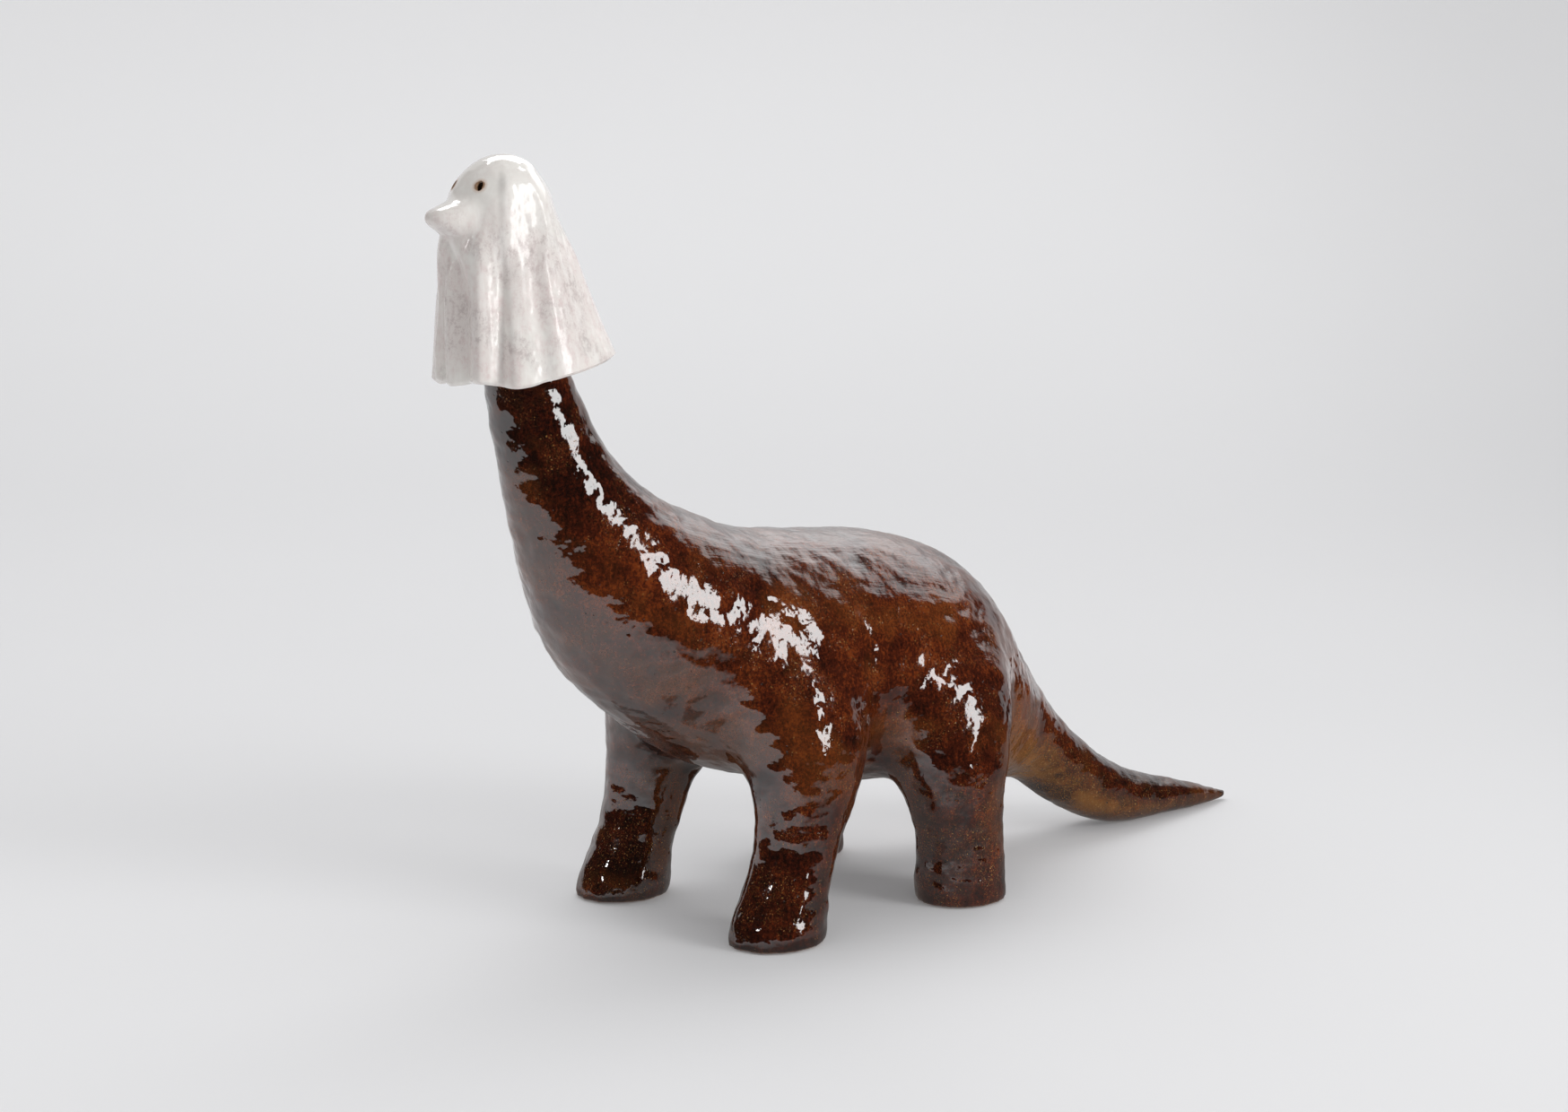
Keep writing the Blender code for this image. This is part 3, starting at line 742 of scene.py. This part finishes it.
def brown_glaze():
    """Iron glaze: amber where it is thin, near black where it pools, with brush streaks and gold specks."""
    material, board, shader, point = new_material("brown_glaze")
    _, y, z = board.parts(point)
    _, rearward, up = board.parts(point.other("Normal"))
    relief = board.add("ShaderNodeAttribute", {"attribute_name": "relief"}, output="Fac")
    cloud = board.noise(point, CLOUD_SIZE, 3, 0.55)
    patch = board.noise(point, PATCH_SIZE, 3, 0.6)
    streaks = board.noise(board.stretched(point, STREAK_SQUEEZE), STREAK_SIZE, 3, 0.65)
    mottle = board.noise(point, MOTTLE_SIZE, 3, 0.7)
    # How thin it lies. It is thicker on the feet and the neck, and darker where the chest faces down.
    feet, neck = board.step(*FEET_Z, z), board.step(*NECK_Z, z)
    chest = board.step(*CHEST_UP, up) * board.step(*CHEST_Y, y)
    thin = 0.38 * cloud + 0.34 * patch + 0.34 * streaks + 0.74 * mottle + 0.14 * relief - 0.228
    thin = thin - 0.10 * feet - 0.05 * neck - 0.10 * chest
    body = board.add("ShaderNodeValToRGB", {"stops": BROWN_STOPS}, {0: thin})
    amber = board.step(0.50, 0.66, board.noise(board.moved(point, (0.7, 0.3, 0.2)), AMBER_SIZE, 2))
    body = board.colour(amber * (0.25 + 0.5 * mottle) * 0.5, body, AMBER)
    # It breaks to olive under the rear, where the dust and the specks also crowd.
    rear = board.step(*REAR_Y, y)
    below = board.step(*BELOW_UP, up) * board.step(*OFF_FLOOR_Z, z)
    olive = below * board.step(0.38, 0.62, cloud * 0.5 + patch * 0.5) * (0.15 + 0.85 * rear)
    body = board.colour(olive * 0.75, body, OLIVE)
    crowd = board.step(0.42, 0.62, patch + 0.08 * feet + 0.16 * below * rear)
    dust = board.step(0.55, 0.70, board.noise(point, DUST_SIZE, 2, 0.6))
    dust = dust * (0.05 + 0.95 * crowd) * (1 - 0.9 * chest)
    body = board.colour(dust * (0.34 + 0.5 * below * rear), body, GOLD_DUST)
    jostle = board.scaled(board.noise(point, SPECK_JOSTLE_SIZE, 1, output="Color"), SPECK_JOSTLE)
    specks = board.cells(board.moved(point, jostle), SPECKS_PER_METRE)
    pick, tone, girth = board.parts(specks.other("Color"))
    gold = board.step(0.32, 0.14, specks / (0.55 + 0.8 * girth)) * board.over(pick, 0.94 - 0.30 * crowd)
    gold = gold * crowd * (1 - 0.7 * chest)
    body = board.colour(gold * (0.15 + 0.55 * tone), body, GOLD_SPECK)
    pinholes = board.cells(board.moved(point, (0.3, 0.1, 0.7)), PINHOLES_PER_METRE)
    pit = board.step(0.20, 0.10, pinholes) * board.over(board.parts(pinholes.other("Color"))[1], 0.93)
    body = board.colour(pit, body, PINHOLE)
    bare = board.step(SOLE_RIM * 1.3, SOLE_RIM * 0.7, z + (mottle - 0.5) * SOLE_RAGGED)
    body = board.colour(bare, body, BARE_CLAY)
    # It is drier on the back, where the brush ran lengthwise.
    dry = board.step(*BACK_UP, up + 0.35 * rearward)
    rough = 0.045 + 0.05 * board.step(0.45, 0.7, patch) + 0.15 * dry + 0.7 * bare
    brushed = board.noise(board.stretched(point, BRUSH_SQUEEZE), BRUSH_SIZE, 3, 0.6)
    orange_peel = board.noise(point, ORANGE_PEEL_SIZE, 1, 0.4)
    grain = board.noise(point, GRAIN_SIZE, 2, 0.6)
    height = orange_peel * 0.70 + grain * 0.05 + gold * 0.10 - pit * 0.35 + brushed * dry * 0.75
    plug(board, shader, Base_Color=body, Roughness=rough, Normal=bumped(board, height, BROWN_BUMP, 0.55))
    shader.inputs["IOR"].default_value = BROWN_IOR
    return material


def white_glaze(eyes):
    """Tin-white glaze, mottled pink and grey where thin, iron stain round the eyes, painted shade in them."""
    material, board, shader, point = new_material("white_glaze")
    low = board.step(*LOW_Z, board.parts(point)[2])
    cloud = board.noise(point, PINK_SIZE, 3, 0.6)
    drift = board.noise(board.moved(point, (0.4, 0.2, 0.9)), GREY_SIZE, 3, 0.6)
    mottle = board.noise(board.stretched(point, HANGING_SQUEEZE), HANGING_SIZE, 4, 0.75)
    fine = board.noise(point, FINE_SIZE, 2, 0.7)
    speckle = board.step(0.44, 0.64, mottle * 0.75 + fine * 0.25)
    pink = board.step(0.32, 0.56, cloud) * (0.25 + 0.75 * low)
    grey = board.step(0.42, 0.62, drift) * (0.12 + 0.88 * low)
    runs = board.noise(board.stretched(point, RUN_SQUEEZE), RUN_SIZE, 2, 0.6)
    body = board.colour(cloud * 0.35, WARM_WHITE, CREAM)
    body = board.colour(pink * (0.40 + 0.60 * speckle) * 0.95, body, PINK)
    body = board.colour(grey * (0.15 + 0.85 * speckle) * 0.75, body, GREY)
    body = board.colour(board.step(0.52, 0.68, runs) * 0.35, body, WHITE_RUN)
    for eye, outward in eyes:
        away = board.gap(point, eye) + (fine - 0.5) * EYE_RAGGED
        body = board.colour(board.step(*EYE_HALO_GAP, away) * 0.45, body, EYE_HALO)
        body = board.colour(board.step(*EYE_STAIN_GAP, away) * 0.85, body, EYE_STAIN)
        # Painted shade: deeper in each eye hole, its wall and the hood's inner face behind it are near black.
        inside = board.gap(point, eye - outward * EYE_PAINTED_SHADE_DEPTH)
        body = board.colour(board.step(*EYE_PAINTED_SHADE_GAP, inside), body, EYE_PAINTED_SHADE)
    rough = 0.075 + 0.12 * board.step(0.30, 0.60, cloud) * low
    height = board.noise(point, WHITE_PEEL_SIZE, 1, 0.4) * 1.3 + mottle * 0.06
    plug(board, shader, Base_Color=body, Roughness=rough, Normal=bumped(board, height, WHITE_BUMP, 0.5))
    shader.inputs["IOR"].default_value = WHITE_IOR
    return material


def glowing_paper(name, share, pale, dull, glow):
    """A matt paper that glows a little. share(board, point) says how far it goes from pale to dull."""
    material, board, shader, point = new_material(name)
    body = board.colour(share(board, point), pale, dull)
    plug(board, shader, Base_Color=body, Emission_Color=body)
    shader.inputs["Emission Strength"].default_value = glow
    shader.inputs["Roughness"].default_value = PAPER_ROUGH
    return material, shader


def paper_shade(board, point):
    """Painted shade behind the work and far to the right of it, and painted light up the bend."""
    x, y, _ = board.parts(point)
    turn = math.radians(CAMERA_TURN)
    reach = y * math.sin(turn) - x * math.cos(turn)
    right = x * math.sin(turn) + y * math.cos(turn)
    dull = 0.50 + board.step(*DULL_BEHIND, reach) * 0.27 - board.step(*PALE_UP_BEND, reach) * 0.68
    return dull + 0.24 * board.step(*DULL_RIGHT, right) + 0.06 * board.noise(point, 0.5, 2)


def table_shade(board, point):
    """The mirrored table's shade: behind the forelegs, round each foot and along its right side."""
    shade = board.step(*HIND_SHADE, board.gap(point, HIND_SHADE_AT)) * 0.94
    for foot in FEET:
        shade = board.most(shade, board.step(*FOOT_SHADE, board.gap(point, foot)) * 0.92)
    x, y, _ = board.parts(point)
    return board.most(shade, board.step(*SIDE_SHADE_X, x) * board.step(*SIDE_SHADE_Y, y) * 0.92)


def towards(azimuth, elevation):
    """A direction. Azimuth 0 is -Y, in front of the animal, and 90 is +X."""
    a, e = math.radians(azimuth), math.radians(elevation)
    return Vector((math.sin(a) * math.cos(e), -math.cos(a) * math.cos(e), math.sin(e)))


def softbox(name, azimuth, elevation, distance, width, height, power, roll, slide):
    """A flat light that looks at the work. Roll turns it in its own plane, and slide moves it up there."""
    light = bpy.data.lights.new(name, "AREA")
    light.shape, light.size, light.size_y = "RECTANGLE", width, height
    light.energy = power
    lamp = placed(name, light)
    direction = towards(azimuth, elevation)
    turned = direction.to_track_quat("Z", "Y") @ Quaternion((0, 0, 1), math.radians(roll))
    lamp.location = Vector(LIGHTS_AIM) + direction * distance + turned @ Vector((0, slide, 0))
    lamp.rotation_euler = turned.to_euler()
    lamp.visible_camera = False
    return lamp


def paper_profile():
    """Reach and height along the paper: the floor, the slow bend and the wall."""
    reach, height = FLOOR_TO, 0.0
    profile = [(FLOOR_FROM, FLOOR_LEVEL), (FLOOR_TO, FLOOR_LEVEL)]
    for k in range(1, BEND_STEPS + 1):
        slope = math.radians(90) * (k / BEND_STEPS) ** BEND_EASE
        reach += BEND_STEP * math.cos(slope)
        height += BEND_STEP * math.sin(slope)
        profile.append((reach, height))
    return profile + [(reach, PAPER_TOP)]


def mirrored_wall_profile():
    """Reach and height up the wall that the glaze mirrors."""
    bend = MIRRORED_WALL_BEND
    turns = [math.radians(degrees) for degrees in range(6, 91, 6)]
    profile = [(MIRRORED_WALL_REACH + bend * math.sin(turn), bend - bend * math.cos(turn)) for turn in turns]
    return profile + [(MIRRORED_WALL_REACH + bend, MIRRORED_WALL_TOP)]


def strip_of_paper(name, profile, half_width, material):
    """A sheet whose profile, in reach away from the camera and height, runs straight across the view."""
    forward = -towards(90 - CAMERA_TURN, 0)
    side = Vector((-forward.y, forward.x, 0)) * half_width
    bm = bmesh.new()
    rows = []
    for reach, height in profile:
        middle = forward * reach + Vector((0, 0, height))
        rows.append((bm.verts.new(middle - side), bm.verts.new(middle + side)))
    for low, high in zip(rows, rows[1:]):
        bm.faces.new((low[0], low[1], high[1], high[0]))
    mesh = mesh_from(bm, name, material)
    mesh.shade_smooth()
    sheet = placed(name, mesh)
    return sheet


def flat_sheet(name, corners, level, material):
    bm = bmesh.new()
    bm.faces.new([bm.verts.new((x, y, level)) for x, y in corners])
    sheet = placed(name, mesh_from(bm, name, material))
    return sheet


def air():
    """The world: even light, a pale tone for the camera, and dark where the glaze mirrors it."""
    world = bpy.data.worlds.new("studio_air")
    world.use_nodes = True
    board = Board(world.node_tree)
    ray = board.add("ShaderNodeLightPath", output="Is Camera Ray")
    tone = board.colour(ray, AIR_LIGHT, AIR_SEEN)
    tone = board.colour(ray.other("Is Glossy Ray"), tone, AIR_MIRRORED)
    world.node_tree.links.new(tone.socket, world.node_tree.nodes["Background"].inputs["Color"])
    bpy.context.scene.world = world


def studio():
    """A pale sheet that lies under the work and curves up behind it, with soft lights round it."""
    paper, shader = glowing_paper("pale_paper", paper_shade, PAPER_PALE, PAPER_DULL, PAPER_GLOW)
    shader.inputs["Specular IOR Level"].default_value = 0.0
    table_top, _ = glowing_paper("mirrored_paper", table_shade, TABLE_PALE, TABLE_SHADED, TABLE_GLOW)
    sweep = strip_of_paper("paper_sweep", paper_profile(), PAPER_HALF_WIDTH, paper)
    sweep.visible_glossy = False
    wall = strip_of_paper("mirrored_wall", mirrored_wall_profile(), MIRRORED_WALL_HALF_WIDTH, paper)
    table = flat_sheet("mirrored_table", TABLE_CORNERS, TABLE_LEVEL, table_top)
    for sheet in (wall, table):
        sheet.visible_camera = False
        sheet.visible_diffuse = False
        sheet.visible_shadow = False
    for spread, *setting in FILLS:
        fill = softbox(*setting)
        fill.data.spread = math.radians(spread)
        fill.visible_glossy = False
    for setting in SOFTBOXES:
        softbox(*setting).visible_diffuse = False
    air()


def camera():
    turn, dip = math.radians(CAMERA_TURN), math.radians(CAMERA_DIP)
    look = Vector((-math.cos(turn) * math.cos(dip), math.sin(turn) * math.cos(dip), -math.sin(dip)))
    data = bpy.data.cameras.new("camera")
    data.lens, data.sensor_width, data.sensor_fit = CAMERA_LENS, CAMERA_SENSOR, "HORIZONTAL"
    view = placed("camera", data)
    view.location = CAMERA_PLACE
    view.rotation_euler = look.to_track_quat("-Z", "Y").to_euler()
    bpy.context.scene.camera = view


def dress(obj, node):
    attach(obj, "root")
    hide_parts(node)


dress(make_body(brown_glaze()), "dinosaur_body")
dress(make_hood(), "draped_hood")
studio()
camera()
bpy.context.scene.view_settings.view_transform = "Standard"
